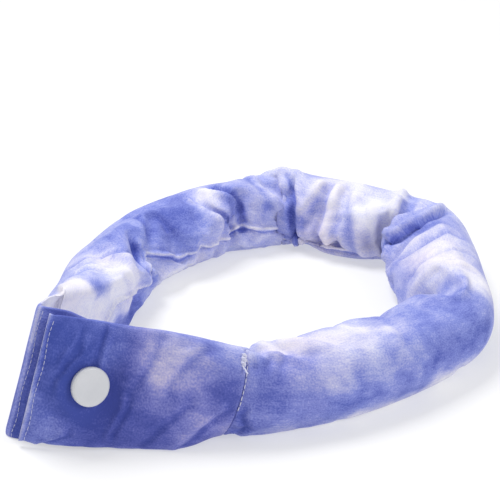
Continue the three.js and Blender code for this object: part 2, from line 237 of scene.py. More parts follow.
# %% Put the sections in one row and measure the pieces
front_rows = np.array([*FRONT_TAB, FRONT_SEAM]) * SHARE_OF
tube_rows = np.array([(x, y, high, 0, 0, 0, out, inward) for x, y, high, out, inward in FILLED_TUBE])
tube_rows *= SHARE_OF
return_rows = np.array([REAR_SEAM, *REAR_TAB_RETURN]) * SHARE_OF
behind_rows = np.array([behind_front(front_rows, *row) for row in REAR_TAB_BEHIND])
rows = np.concatenate([front_rows, tube_rows, return_rows, behind_rows])
FRONT_SEAM_PLACE = len(FRONT_TAB)
REAR_SEAM_PLACE = FRONT_SEAM_PLACE + len(FILLED_TUBE) + 1
REAR_TIP_PLACE = len(rows) - 1


def runs_between(start, end, count):
    """Places at even steps along the sleeve, and how far along each one is."""
    fine = np.linspace(start, end, 3000)
    step = np.linalg.norm(np.diff(rows_at(rows, fine)[:, :2], axis=0), axis=1)
    run = np.concatenate([[0], np.cumsum(step)])
    even = np.linspace(0, run[-1], count)
    return np.interp(even, run, fine), even


for title, start, end in (
    ("front tab", 0, FRONT_SEAM_PLACE),
    ("filled tube", FRONT_SEAM_PLACE, REAR_SEAM_PLACE),
    ("rear tab", REAR_SEAM_PLACE, REAR_TIP_PLACE),
):
    print(title, round(runs_between(start, end, 2)[1][-1], 1), "mm long")

# %% [markdown]
# ## Points of the cloth
# A point of the sleeve is named by its place along the line and by its facing: 0 degrees is the outside of
# the ring, 90 the top, 180 the inside and 270 the side on the table. The folds that the solids have are
# pressed in here, so that the simulation later starts with its folds at the right places.

# %% The section at a place, and the folds pressed into it
# at, facing, depth, before, after, spread, slant: the columns of the solids' own table
FOLDS = [
    (0.035, 95, 0.05, 0.12, 0.18, 60, 0),
    (0.05, 200, 0.12, 0.14, 0.22, 55, 0),
    (0.292, 178, 0.24, 0.18, 0.15, 48, 0.2),
    (0.34, 140, 0.07, 0.14, 0.2, 40, 0.25),
    (0.415, 125, 0.08, 0.12, 0.14, 35, -0.4),
    (0.467, 160, 0.27, 0.13, 0.16, 68, 0.14),
    (0.53, 125, 0.06, 0.13, 0.13, 45, -0.2),
    (0.566, 175, 0.26, 0.13, 0.15, 68, -0.02),
    (0.6, 90, 0.05, 0.12, 0.14, 35, 0.1),
    (0.66, 165, 0.26, 0.17, 0.12, 62, 0.06),
    (0.695, 120, 0.08, 0.12, 0.14, 50, -0.12),
    (0.77, 110, 0.05, 0.14, 0.14, 55, 0.5),
    (0.845, 165, 0.26, 0.15, 0.14, 58, 0.25),
    (0.85, 75, 0.035, 0.12, 0.14, 45, 0.8),
    (0.952, 130, 0.1, 0.13, 0.13, 38, -0.3),
]
END_BLEND = 12.0  # the tube meets each tab edge to edge, so it is pressed flat only from here on
EDGE_ROUNDING = 2.5  # how quickly a flat tab's edge swells to its full thickness


def turned_off(facing, middle):
    """Degrees between two facings, from -180 to 180."""
    return (facing - middle + 540) % 360 - 180


def section_points(places, facing):
    """Points of the unfolded sleeve, in millimetres about the middle of the ring."""
    row = rows_at(rows, places)
    outward = outward_at(rows, places)
    across, up = np.cos(np.radians(facing)), np.sin(np.radians(facing))
    bulge = np.where(across > 0, row[:, OUT], row[:, INWARD]) * np.abs(across)
    wall = SHEET / 2 * np.sqrt(np.minimum(1, np.abs(across) * EDGE_ROUNDING))
    points = np.zeros((len(row), 3))
    points[:, :2] = row[:, [X, Y]] + outward * (np.sign(across) * (bulge + wall))[:, None]
    points[:, :2] += row[:, [LEAN_X, LEAN_Y]] * up[:, None] / 2
    points[:, 2] = row[:, FOOT] + row[:, HIGH] / 2 * (1 + up)
    return points, row


def fold_depth(run, length, facing):
    """How far the folds press each point of the filled tube in."""
    depth = np.zeros(len(run))
    for at, middle, deep, before, after, spread, slant in FOLDS:
        off = turned_off(facing, middle)
        past = run - at * length - slant * STRIP_WIDTH * off / 90
        flank = np.where(past < 0, before, after) * STRIP_WIDTH
        depth += deep * FILLED_DIAMETER * np.exp(-((past / flank) ** 2) - (off / spread) ** 2)
    ends = np.minimum(run, length - run) / (FILLED_DIAMETER / 2)
    return depth * np.clip(ends, 0, 1)


def tube_points(places, run, length, facing):
    """The filled tube with its folds, flattened where it lies on the table."""
    points, row = section_points(places, facing)
    middle = np.stack([row[:, X], row[:, Y], row[:, FOOT] + row[:, HIGH] / 2], axis=1)
    inward = middle - points
    inward /= np.linalg.norm(inward, axis=1, keepdims=True) + 1e-9
    points += inward * fold_depth(run, length, facing)[:, None]
    from_ends = np.clip(np.minimum(run, length - run) / END_BLEND, 0, 1)
    points[:, 2] = np.maximum(0, points[:, 2] - PRESSED_DEPTH * from_ends)
    return points


# %% Turn the tabs with the snap
snap_outward = outward_at(rows, [SNAP_ROW])[0]
snap_heading = np.array([-snap_outward[1], snap_outward[0]])


def snap_foot():
    row = rows_at(rows, SNAP_ROW)[0]
    level = row[[X, Y]] + snap_outward * row[OUT]
    return np.array([level[0], level[1], row[FOOT] + row[HIGH] / 2])


SNAP_FOOT = snap_foot()
print("snap at", SNAP_FOOT.round(1), "mm from the middle of the ring")


def turn_at_snap(points):
    """The snap is stiffer than the cloth, so both tabs turn with it near its middle."""
    off = points - SNAP_FOOT
    along = off[:, :2] @ snap_heading
    distance = np.hypot(along, off[:, 2]) / FOLLOW_LENGTH
    push = -math.tan(SNAP_TURN) * along * np.exp(-(distance**4))
    turned = points.copy()
    turned[:, :2] += snap_outward * push[:, None]
    return turned


# %% [markdown]
# ## Cutting and sewing the sleeve
# A sleeve is cut flat, rolled up and sewn along one side. The mesh is made the same way: a grid is the
# flat cut, its UV map keeps the length and girth of the cloth in metres for the weave, and then the grid
# is rolled round and its long edges are merged. A cylinder would give the same shape, but no cut edge for
# the seam.

# %% Cut a sleeve from a grid
FLAT_GIRTH = 2 * STRIP_WIDTH


def cut_sleeve(name, steps_along, steps_round, length, start_run, seam_finer=0.0):
    """A flat grid, as long as the sleeve and as wide as its girth, with its UV map in metres."""
    bm = bmesh.new()
    bmesh.ops.create_grid(bm, x_segments=steps_along, y_segments=steps_round, size=1, calc_uvs=True)
    cloth_map = bm.loops.layers.uv.verify()
    along = bm.verts.layers.float.new("run")
    round_it = bm.verts.layers.float.new("round")
    for vert in bm.verts:
        vert[along] = (vert.co.x + 1) / 2 * length
        even = (vert.co.y + 1) / 2
        vert[round_it] = even - seam_finer * math.sin(math.tau * even) / math.tau
    for face in bm.faces:
        for loop in face.loops:
            girth = loop.vert[round_it] * FLAT_GIRTH * MM
            loop[cloth_map].uv = ((start_run + loop.vert[along]) * MM, girth)
    mesh = bpy.data.meshes.new(name)
    bm.to_mesh(mesh)
    bm.free()
    mesh.uv_layers[0].name = "cloth"
    return link_piece(name, mesh)


# %% Read and write a mesh as arrays


def column(mesh, name):
    """A float attribute of a mesh as an array."""
    values = np.zeros(len(mesh.vertices))
    mesh.attributes[name].data.foreach_get("value", values)
    return values


def points_of(mesh):
    values = np.zeros(len(mesh.vertices) * 3)
    mesh.vertices.foreach_get("co", values)
    return values.reshape(-1, 3)


def set_points(mesh, points):
    mesh.vertices.foreach_set("co", np.asarray(points, dtype=float).ravel())
    mesh.update()


def normals_of(mesh):
    values = np.zeros(len(mesh.vertices) * 3)
    mesh.vertices.foreach_get("normal", values)
    return values.reshape(-1, 3)


def cloth_places(piece):
    """How far along the whole sleeve each point is, in millimetres, and its share of the way round."""
    mesh = piece.data
    corners = np.zeros(len(mesh.loops) * 2)
    mesh.uv_layers[0].data.foreach_get("uv", corners)
    of_corner = np.zeros(len(mesh.loops), dtype=int)
    mesh.loops.foreach_get("vertex_index", of_corner)
    places = np.zeros((len(mesh.vertices), 2))
    places[of_corner] = corners.reshape(-1, 2)
    return places[:, 0] / MM, places[:, 1] / MM / FLAT_GIRTH


# %% Sew a rolled sleeve up


def sew_up(piece):
    """Merges the two long edges of the rolled cloth, closes both ends and turns the faces outwards."""
    bm = bmesh.new()
    bm.from_mesh(piece.data)
    bmesh.ops.remove_doubles(bm, verts=bm.verts, dist=1e-6)
    sharp = bm.edges.layers.float.new("crease_edge")
    open_edges = [edge for edge in bm.edges if edge.is_boundary]
    for edge in open_edges:
        edge[sharp] = 1
    bmesh.ops.holes_fill(bm, edges=open_edges, sides=0)
    bmesh.ops.recalc_face_normals(bm, faces=bm.faces)
    bm.to_mesh(piece.data)
    bm.free()
    piece.data.shade_smooth()


# %% [markdown]
# ## The filled tube
# Soaked beads press the cloth out, so the outside of the ring is taut. The inside has cloth to spare,
# because the sleeve was straight when it was sewn, and it gathers in kinks and soft folds. Folds like
# these are hard to model by hand and easy to simulate: the rest shape is the straight sleeve, the start is
# the bent one, and the Cloth modifier finds where the spare length goes. This cell only rolls the sleeve
# along the ring.

# %% Roll the tube along the ring
TUBE_STEPS = 250
TUBE_ROUND = 64
TUBE_START = 80.0  # how far along the whole sleeve the tube starts
REAR_START = 538.0
# where the long seam lies, as facing at a share of the tube's length
SEAM_SIDE = [
    (0, 268), (0.06, 255), (0.15, 240), (0.3, 215), (0.389, 200), (0.437, 212), (0.507, 222),
    (0.566, 224), (0.59, 208), (0.635, 188), (0.655, 180), (0.672, 190), (0.718, 187), (0.758, 182),
    (0.788, 163), (0.81, 147), (0.822, 166), (0.836, 192), (0.884, 176), (0.919, 166), (0.96, 210),
    (1, 268),
]


def seam_facing(share):
    at, side = zip(*SEAM_SIDE)
    return np.interp(share, at, side)


def roll_tube():
    places, runs = runs_between(FRONT_SEAM_PLACE, REAR_SEAM_PLACE, TUBE_STEPS + 1)
    length = runs[-1]
    piece = cut_sleeve("filled_tube", TUBE_STEPS, TUBE_ROUND, length, TUBE_START, seam_finer=0.5)
    run = column(piece.data, "run")
    facing = (seam_facing(run / length) + column(piece.data, "round") * 360) % 360
    place = np.interp(run, runs, places)
    set_points(piece.data, in_frame(tube_points(place, run, length, facing)))
    sew_up(piece)
    print("tube:", round(length, 1), "mm,", len(piece.data.polygons), "faces")
    return piece, places, runs


filled_tube, tube_places, tube_runs = roll_tube()

# %% [markdown]
# ## Letting the cloth crumple
# The band on the outside of the ring and the one on the table are held, and so are the two sewn ends. The
# rest is free. Cloth reads a rest shape only behind another modifier, so an Edge Split that splits nothing
# stands before it. The pressure of the beads keeps the folds round, and gravity is off, because the beads
# carry the cloth. How far a point may move is capped, so that the tube stays in its solid's space.

# %% What holds the cloth, and how long it is at rest
SPARE = 0.4  # how much of the outer side's extra length the whole girth has
REST_RADIUS = 17.0
BEAD_PRESSURE = 4
CLOTH_STIFFNESS = 5
CLOTH_FRAMES = 20
MOST_MOVE = 8.0
HELD_BANDS = [(0, 35, 40), (270, 25, 25)]  # facing, degrees held either way, degrees of fading
HELD_END = 6.0


def held_share(facing, run, length):
    """1 where the cloth is held, 0 where it is free."""
    held = np.zeros(len(facing))
    for middle, half, fade in HELD_BANDS:
        held = np.maximum(held, (half + fade - np.abs(turned_off(facing, middle))) / fade)
    ends = 1 - np.minimum(run, length - run) / HELD_END
    return np.clip(np.maximum(held, ends), 0, 1)


def rest_runs(places, runs):
    """How long the straight sleeve is up to each place, longer than the middle line by a share."""
    outer = section_points(places, np.zeros(len(places)))[0]
    outer_steps = np.linalg.norm(np.diff(outer[:, :2], axis=0), axis=1)
    steps = np.diff(runs)
    longer = steps + SPARE * np.maximum(0, outer_steps - steps)
    return np.concatenate([[0], np.cumsum(longer)])


# %% Set up the cloth, run it and keep its last frame


def crumple(piece, places, runs):
    """Simulates the filled sleeve from its bent shape, with the straight one as its shape at rest."""
    mesh = piece.data
    run = column(mesh, "run")
    facing = (seam_facing(run / runs[-1]) + column(mesh, "round") * 360) % 360
    start = points_of(mesh)
    straight = np.interp(run, runs, rest_runs(places, runs))
    around = np.radians(facing)
    rest = np.stack([straight, REST_RADIUS * np.cos(around), REST_RADIUS * np.sin(around)], axis=1)
    piece.shape_key_add(name="bent")
    sewn = piece.shape_key_add(name="straight")
    sewn.data.foreach_set("co", (rest * MM).ravel())
    sewn.value = 0
    group = piece.vertex_groups.new(name="held")
    for index, share in enumerate(held_share(facing, run, runs[-1])):
        group.add([index], float(share), "REPLACE")
    split = piece.modifiers.new("nothing split", "EDGE_SPLIT")
    split.use_edge_angle = False
    split.use_edge_sharp = False
    cloth = piece.modifiers.new("cotton", "CLOTH")
    fabric = cloth.settings
    fabric.quality = 6
    fabric.bending_stiffness = CLOTH_STIFFNESS
    fabric.vertex_group_mass = group.name
    fabric.rest_shape_key = sewn
    fabric.use_pressure = True
    fabric.uniform_pressure_force = BEAD_PRESSURE
    fabric.effector_weights.gravity = 0
    cloth.collision_settings.use_collision = False
    scene = bpy.context.scene
    for step in range(1, CLOTH_FRAMES + 1):
        scene.frame_set(step)
    view = bpy.context.evaluated_depsgraph_get()
    moved = points_of(piece.evaluated_get(view).data) - start
    piece.modifiers.clear()
    piece.shape_key_clear()
    piece.vertex_groups.clear()
    scene.frame_set(1)
    length = np.linalg.norm(moved, axis=1, keepdims=True) / MM
    capped = start + moved * MOST_MOVE * np.tanh(length / MOST_MOVE) / np.maximum(length, 1e-6)
    capped[:, 2] = np.maximum(capped[:, 2], RING_MIDDLE[2] * MM)
    set_points(mesh, capped)
    print("crumpled: moved", round(length.mean(), 2), "mm on average,", round(length.max(), 1), "at most")


# The simulation is the one slow step.
crumple(filled_tube, tube_places, tube_runs)

# %% [markdown]
# ## Finer cloth
# A Subdivision Surface modifier rounds the simulated mesh once. It is applied, because the seams come next
# and are narrower than the coarse faces.

# %% Subdivide a piece and keep the result


def subdivide(piece, levels=1):
    """Applies a Subdivision Surface of as many levels."""
    finer = piece.modifiers.new("finer", "SUBSURF")
    finer.levels = levels
    finer.render_levels = levels
    bpy.context.view_layer.objects.active = piece
    bpy.ops.object.modifier_apply(modifier=finer.name)
    print(piece.name, "has", len(piece.data.polygons), "faces")


subdivide(filled_tube)

# %% [markdown]
# ## The flat tabs
# Each tab is the same sleeve without beads: two layers of cotton, folded along the top and sewn along the
# foot. A plane with a Solidify modifier would have hard edges. A closed shell of two faces, two
# millimetres apart, has the thickness and the soft edges of both layers.

# %% Roll the two tabs
TAB_STEP = 1.6
TAB_ROUND = 64


def roll_tab(name, start, end, start_run):
    """A flat tab between two places on the line, with its runs counted on from start_run."""
    length = runs_between(start, end, 2)[1][-1]
    steps = int(length / TAB_STEP)
    places, runs = runs_between(start, end, steps + 1)
    piece = cut_sleeve(name, steps, TAB_ROUND, length, start_run)
    run = column(piece.data, "run")
    facing = (270 + column(piece.data, "round") * 360) % 360
    place = np.interp(run, runs, places)
    set_points(piece.data, in_frame(turn_at_snap(section_points(place, facing)[0])))
    sew_up(piece)
    subdivide(piece)
    return piece


front_tab = roll_tab("front_tab_cloth", 0, FRONT_SEAM_PLACE, 0.0)
rear_tab = roll_tab("rear_tab_cloth", REAR_SEAM_PLACE, REAR_TIP_PLACE, REAR_START)

# %% [markdown]
# ## Creases
# A simulation of this size leaves soft folds only. Where the ring is sharply bent the cloth stands up in
# thin ridges with a dark gap beside them, and the tabs have small creases where the snap pulls at them.
# Sculpting would do it too, but a table can be read and changed. Each row is a line across the sleeve,
# pressed into the fine mesh along its normals.

# %% Chart the creases
# height of the ridge, its half width, depth of the gap beside it and how far past the ridge the gap lies,
# all in millimetres, and the line as (facing, run)
TUBE_CREASES = [
    (1.6, 6.0, 0.0, 0.0, [(60, 352), (90, 350), (110, 349)]),
    (1.5, 1.5, 3.0, 2.8, [(95, 347), (99, 346), (140, 340), (199, 338), (227, 339)]),
    (1.8, 2.4, 1.2, -4.4, [(99, 334), (126, 336), (143, 338)]),
    (-2.0, 2.2, 0.0, 0.0, [(100, 330), (140, 329), (168, 329), (205, 330)]),
    (1.4, 2.2, 1.6, -4.2, [(95, 326), (143, 325), (211, 325)]),
    (1.5, 2.6, 1.2, 4.6, [(105, 316), (149, 310), (195, 306)]),
    (1.5, 2.0, 1.1, -3.4, [(125, 306), (152, 303), (200, 300)]),
    (2.4, 2.2, 1.6, -4.0, [(60, 300), (90, 298), (121, 296), (150, 293)]),
    (-3.6, 1.8, -1.8, 4.0, [(55, 281), (75, 277), (105, 272), (145, 271), (165, 273)]),
    (1.8, 2.2, 1.2, 3.6, [(75, 290), (120, 286), (150, 279), (175, 268)]),
    (1.4, 2.4, 0.8, 4.0, [(90, 263), (140, 262), (170, 258)]),
    (-0.9, 1.5, 0.0, 0.0, [(60, 256), (100, 257), (140, 254)]),
    (-2.8, 1.8, -1.6, 3.6, [(90, 388), (120, 384), (146, 380), (180, 379)]),
    (1.9, 2.4, 1.2, -4.0, [(75, 405), (92, 403), (122, 402), (165, 398)]),
    (-1.3, 1.8, 0.0, 0.0, [(140, 397), (167, 391), (186, 384)]),
    (-2.2, 1.8, -1.2, -3.4, [(135, 454), (149, 457), (168, 461), (200, 458)]),
    (-1.2, 1.8, -0.6, 3.4, [(55, 480), (95, 470), (130, 466)]),
    (1.1, 2.4, 0.8, 3.6, [(75, 495), (110, 488), (150, 484)]),
    (-1.0, 2.0, 0.0, 0.0, [(60, 432), (95, 436), (130, 441)]),
    (1.2, 2.4, 0.9, 3.4, [(70, 367), (110, 366), (150, 362)]),
    (-0.8, 1.5, 0.0, 0.0, [(50, 243), (100, 236), (150, 231)]),
    (0.8, 2.2, 0.6, -3.4, [(60, 226), (110, 222), (160, 224)]),
    (-0.8, 1.8, 0.0, 0.0, [(75, 196), (110, 190), (140, 186)]),
    (-0.6, 1.8, 0.0, 0.0, [(300, 182), (330, 176), (355, 174)]),
    (0.7, 2.4, 0.5, 3.4, [(0, 150), (40, 144), (80, 147)]),
    (-0.6, 2.0, 0.0, 0.0, [(310, 120), (350, 126), (30, 124)]),
    (0.6, 2.0, 0.5, 3.0, [(40, 92), (75, 97), (110, 96)]),
    (-1.1, 1.3, -0.5, 2.6, [(292, 84), (320, 86), (342, 83)]),
]
FRONT_CREASES = [
    (-0.9, 1.1, -0.6, 2.2, [(18, 21), (40, 21.5), (62, 23)]),
    (0.9, 1.0, 0.9, 2.1, [(-48, 29), (-30, 31), (-18, 33)]),
    (0.7, 0.9, 0.7, -1.9, [(5, 9), (18, 12), (30, 16)]),
    (0.6, 0.9, 0.5, 1.8, [(22, 8), (36, 11), (52, 12)]),
    (-0.9, 2.0, 0.0, 0.0, [(-70, 40), (-40, 46), (-8, 56)]),
    (0.9, 2.4, 0.7, 3.6, [(-66, 52), (-40, 57), (-12, 66)]),
    (0.7, 1.2, 0.6, 2.2, [(-80, 6), (-66, 9), (-56, 14)]),
    (-0.8, 2.2, 0.0, 0.0, [(0, 36), (30, 42), (60, 45)]),
    (0.6, 1.8, 0.5, 2.8, [(10, 46), (35, 52), (60, 58)]),
]
print(len(TUBE_CREASES), "creases on the tube and", len(FRONT_CREASES), "on the front tab")

# %% Press the creases
CREASE_FADE = 12.0  # degrees over which a crease dies away past its ends


def crease_lift(run, facing, crease):
    """How far one crease lifts each point, or presses it in, in millimetres."""
    height, half_width, depth, gap_at, line = crease
    sides, line_runs = zip(*line)
    sides = np.unwrap(sides, period=360)
    middle = (sides[0] + sides[-1]) / 2
    side = middle + turned_off(facing, middle)
    past = run - np.interp(side, sides, line_runs)
    beyond = np.maximum(0, np.maximum(sides[0] - side, side - sides[-1]))
    ridge = height * np.exp(-((past / half_width) ** 2))
    gap = depth * np.exp(-(((past - gap_at) / half_width) ** 2))
    return (ridge - gap) * np.exp(-((beyond / CREASE_FADE) ** 2))


def facing_of(piece):
    """How far along and which way each point of a sewn piece faces, read back from its UV map."""
    run, round_share = cloth_places(piece)
    seam_at = seam_facing((run - TUBE_START) / tube_runs[-1]) if piece is filled_tube else 270
    return run, (seam_at + round_share * 360) % 360


def lift_cloth(piece, lift):
    """Moves each point of a piece along its normal, in millimetres, and keeps it above the table."""
    points = points_of(piece.data) + normals_of(piece.data) * lift[:, None] * MM
    points[:, 2] = np.maximum(points[:, 2], RING_MIDDLE[2] * MM)
    set_points(piece.data, points)


def press_creases(piece, creases):
    """Lifts each crease in turn, and keeps how deep the cloth lies in them for the painted shade in their gaps
    and the painted highlight on their crests.
    """
    run, facing = facing_of(piece)
    total = np.zeros(len(run))
    for crease in creases:
        lift = crease_lift(run, facing, crease)
        lift_cloth(piece, lift)
        total += lift
    layer = piece.data.attributes.new("creased", "FLOAT", "POINT")
    layer.data.foreach_set("value", total)


press_creases(filled_tube, TUBE_CREASES)
press_creases(front_tab, FRONT_CREASES)

# %% [markdown]
# ### Slow waves in the tabs
# A worn tab is never quite flat. Both of its layers wave together, so the waves move a tab's two faces the
# same way, by a noise that is read along and across it. The snap keeps the cloth flat about itself.

# %% Wave the tabs and press the hem
HEM_INSET = 2.0
HEM_DEPTH = 0.35
HEM_HALF = 0.8
WAVE_HEIGHT = 0.8
WAVE_LENGTH = 15.0
SNAP_KEEPS_FLAT = 9.0
REAR_PROUD = 2.4  # how far the rear tab's fold shows above the front one
REAR_PROUD_AT = REAR_START + 62
REAR_PROUD_HALF = 16.0


def wave_tab(piece):
    """Slow waves over both layers of a tab together, none near the snap or at the cross seam."""
    run, facing = facing_of(piece)
    points = points_of(piece.data)
    snap_at = in_frame(SNAP_FOOT)
    away = np.linalg.norm(points - snap_at, axis=1) / MM
    calm = np.clip(away / SNAP_KEEPS_FLAT - 0.8, 0, 1) * np.clip(np.abs(run - TUBE_START + 7) / 8, 0, 1)
    across = np.sin(np.radians(facing)) * STRIP_WIDTH / 2
    sheet = [Vector((along / WAVE_LENGTH, over / WAVE_LENGTH, 3)) for along, over in zip(run, across)]
    waves = np.array([noise.fractal(place, 0.7, 2.2, 3) for place in sheet])
    points[:, :2] += snap_outward * (waves * calm * WAVE_HEIGHT * MM)[:, None]
    set_points(piece.data, points)


def raise_behind_front():
    """The rear tab's fold shows a little above the front tab."""
    run, facing = facing_of(rear_tab)
    points = points_of(rear_tab.data)
    behind_front = np.exp(-(((run - REAR_PROUD_AT) / REAR_PROUD_HALF) ** 2))
    points[:, 2] += REAR_PROUD * MM * behind_front * np.clip(np.sin(np.radians(facing)), 0, 1)
    set_points(rear_tab.data, points)


def press_hem():
    run, _ = facing_of(front_tab)
    lift_cloth(front_tab, -HEM_DEPTH * np.exp(-(((run - HEM_INSET) / HEM_HALF) ** 2)))


wave_tab(front_tab)
wave_tab(rear_tab)
raise_behind_front()
press_hem()
print("rear tab rises to", round(points_of(rear_tab.data)[:, 2].max() / MM, 1), "mm")

# %% [markdown]
# ## Seams
# The long seam closes the sleeve: a low welt with a row of stitches on it, and puckered cloth on both sides.
# Where the opening for the beads was closed there is a second row. A cross seam holds the beads in at each end
# of the tube. The welt and the puckers are pressed into the fine mesh, because a bump would not show at the
# outline. The stitches are small separate meshes, each a squashed sphere laid along the thread's way.

# %% Raise the long seam and pinch the cross seams
WELT_HEIGHT = 0.75
WELT_HALF = 0.95
LEDGE = (1.1, 1.9, 0.9)  # the cloth under the seam hangs back: depth, place and half width
GROOVE = (0.45, -2.0, 0.8)  # and the cloth above it a little, in the same columns
PUCKER_HEIGHT = 0.2
PUCKER_LENGTH = 4.3
PUCKER_REACH = 3.4
PUCKER_DRIFT = (0.35, 7.3)  # the puckers aren't even: by how much, and over what length
PINCH_DEPTH = 0.7
PINCH_REACH = 1.6
GATHERS = (5.1, 8.3)  # the lengths of the small gathers beside a cross seam
GATHER_HEIGHT = 0.22
GATHER_AT = 3.0
GATHER_REACH = 3.5
SEAM_FADE = 3.0


def seam_offset(round_share):
    """Millimetres from the long seam, round the sleeve."""
    return ((round_share + 0.5) % 1 - 0.5) * FLAT_GIRTH


def press_seams(piece, ends):
    """Welt and puckers along the long seam, and a pinch at each end, named by its run in millimetres."""
    run, round_share = cloth_places(piece)
    off = seam_offset(round_share)
    welt = WELT_HEIGHT * np.exp(-((off / WELT_HALF) ** 2))
    for depth, place, half in (LEDGE, GROOVE):
        welt -= depth * np.exp(-(((off - place) / half) ** 2))
    drift, drift_length = PUCKER_DRIFT
    wave = run / PUCKER_LENGTH + drift * np.sin(run / drift_length) + np.where(off > 0, 0.3, 0)
    pucker = PUCKER_HEIGHT * np.sin(math.tau * wave) * np.exp(-((off / PUCKER_REACH) ** 2))
    gathers = sum(np.sin(round_share * FLAT_GIRTH / length * math.tau) for length in GATHERS)
    pinch = np.zeros(len(run))
    nearest = np.full(len(run), np.inf)
    for end in ends:
        away = np.abs(run - end)
        nearest = np.minimum(nearest, away)
        pinch -= PINCH_DEPTH * np.exp(-((away / PINCH_REACH) ** 2))
        pinch += GATHER_HEIGHT * gathers * np.exp(-(((away - GATHER_AT) / GATHER_REACH) ** 2))
    lift = (welt + pucker) * np.clip(nearest / SEAM_FADE, 0, 1) + pinch
    lift_cloth(piece, lift)
    print("seams lift the cloth from", round(lift.min(), 2), "to", round(lift.max(), 2), "mm")


press_seams(filled_tube, [TUBE_START, REAR_START])

# %% [markdown]
# ### Stitches
# A stitch lies on the cloth, so its place is given as the cloth is measured: millimetres along the sleeve
# and a share of the way round. A search in the UV map finds the triangle there, and with it the point and
# the normal.

# %% Find a point of the cloth


class ClothFinder:
    """Finds the point and the normal of a piece of cloth at a run and a share round."""

    def __init__(self, piece):
        mesh = piece.data
        mesh.calc_loop_triangles()
        layer = mesh.uv_layers[0].data
        self.flat, self.solid, corners = [], [], []
        for triangle in mesh.loop_triangles:
            flat = [Vector((*layer[loop].uv, 0)) for loop in triangle.loops]
            if max(p.y for p in flat) - min(p.y for p in flat) > 0.5 * FLAT_GIRTH * MM:
                continue
            start = len(corners)
            corners += flat
            self.flat.append((start, start + 1, start + 2))
            self.solid.append([mesh.vertices[v].co for v in triangle.vertices])
        self.corners = corners
        self.tree = BVHTree.FromPolygons(corners, self.flat)

    def at(self, run, round_share):
        flat = Vector((run * MM, (round_share % 1) * FLAT_GIRTH * MM, 0))
        near, _, index, _ = self.tree.find_nearest(flat)
        a, b, c = (self.corners[i] for i in self.flat[index])
        solid = self.solid[index]
        point = barycentric_transform(near, a, b, c, *solid)
        return point, (solid[1] - solid[0]).cross(solid[2] - solid[0]).normalized()


# %% Lay a row of stitches
STITCH_LENGTH = 2.1
STITCH_GAP = 0.2
LEAST_STITCH = 0.2  # a stitch shorter than this share is in a kink, and left out


def stitch_row(bm, finder, way, thickness=0.15, proud=0.1):
    """Stitches along a list of (run, round) points, one after another, on the outer face of the cloth."""
    path = [finder.at(*place) for place in way]
    lengths = [0.0]
    for (before, _), (after, _) in zip(path, path[1:]):
        lengths.append(lengths[-1] + (after - before).length / MM)
    count = int(lengths[-1] / (STITCH_LENGTH + STITCH_GAP))
    for stitch in range(count):
        start = stitch * (STITCH_LENGTH + STITCH_GAP)
        ends = []
        for distance in (start, start + STITCH_LENGTH):
            i = min(len(lengths) - 2, max(0, int(np.searchsorted(lengths, distance)) - 1))
            share = (distance - lengths[i]) / max(lengths[i + 1] - lengths[i], 1e-6)
            place = path[i][0].lerp(path[i + 1][0], share)
            ends.append((place, path[i][1]))
        (first, normal), (second, _) = ends
        along = second - first
        if along.length < LEAST_STITCH * STITCH_LENGTH * MM:
            continue
        turn = along.to_track_quat("X", "Z").to_matrix().to_4x4()
        size = Matrix.Diagonal((along.length * 0.53, thickness * MM, thickness * MM, 1))
        middle = (first + second) / 2 + normal * proud * MM
        laid = Matrix.Translation(middle) @ turn @ size
        bmesh.ops.create_uvsphere(bm, u_segments=6, v_segments=4, radius=1, matrix=laid)
    return count


def finish_piece(bm, name):
    """A smooth object from a bmesh."""
    mesh = bpy.data.meshes.new(name)
    bm.to_mesh(mesh)
    bm.free()
    mesh.shade_smooth()
    print(name, len(mesh.polygons), "faces")
    return link_piece(name, mesh)


# %% Sew the three kinds of seam
tube_finder = ClothFinder(filled_tube)
front_finder = ClothFinder(front_tab)
rear_finder = ClothFinder(rear_tab)
SECOND_ROW = 1 - 2.4 / FLAT_GIRTH  # a second row, above the first
SEWN_TWICE = (282, 346)  # the runs between which the opening for the beads was sewn shut
REAR_HEM = 587.5


def sew_long_seam():
    """One row along the seam, and a second where it was closed by hand."""
    bm = bmesh.new()
    runs = np.arange(TUBE_START + 3, REAR_START - 2, 1.0)
    stitch_row(bm, tube_finder, [(run, 0.001) for run in runs])
    again = [run for run in runs if SEWN_TWICE[0] < run < SEWN_TWICE[1]]
    stitch_row(bm, tube_finder, [(run, SECOND_ROW) for run in again])
    return finish_piece(bm, "long_seam_stitches")


def round_share_at(facing, seam_at):
    return ((facing - seam_at) % 360) / 360


def sew_cross_seams():
    """A row across each end of the tube, in two parts with the folded top between them."""
    bm = bmesh.new()
    for run, inset in ((TUBE_START, 0.45), (REAR_START, -0.45)):
        seam_at = seam_facing(0 if run == TUBE_START else 1)
        for low, high in ((-12, 70), (100, 258)):
            sides = np.arange(low, high, 2.0)
            way = [(run + inset, round_share_at(side, seam_at)) for side in sides]
            stitch_row(bm, tube_finder, way, thickness=0.24, proud=0.16)
    return finish_piece(bm, "cross_seam_stitches")


def sew_hems():
    """The hem at the front tab's tip, and the matching row along the rear tab's turn."""
    bm = bmesh.new()
    for finder, run in ((front_finder, HEM_INSET), (rear_finder, REAR_HEM)):
        for low, high in ((-84, 84), (96, 264)):
            sides = np.arange(low, high, 2.0)
            way = [(run + 0.3 * math.sin(side / 9), round_share_at(side, 270)) for side in sides]
            stitch_row(bm, finder, way, thickness=0.13, proud=0.07)
    return finish_piece(bm, "hem_stitches")


long_seam = sew_long_seam()
cross_seams = sew_cross_seams()
hems = sew_hems()

# %% [markdown]
# ## The knot
# The cross seam's thread ends in a small wad of knotted cotton at the top of the front seam. A thread is a
# curve with a round bevel, wound many times about one spot, and made a mesh before it is kept.

# %% Wind the knot and its tail
THREAD = 0.34


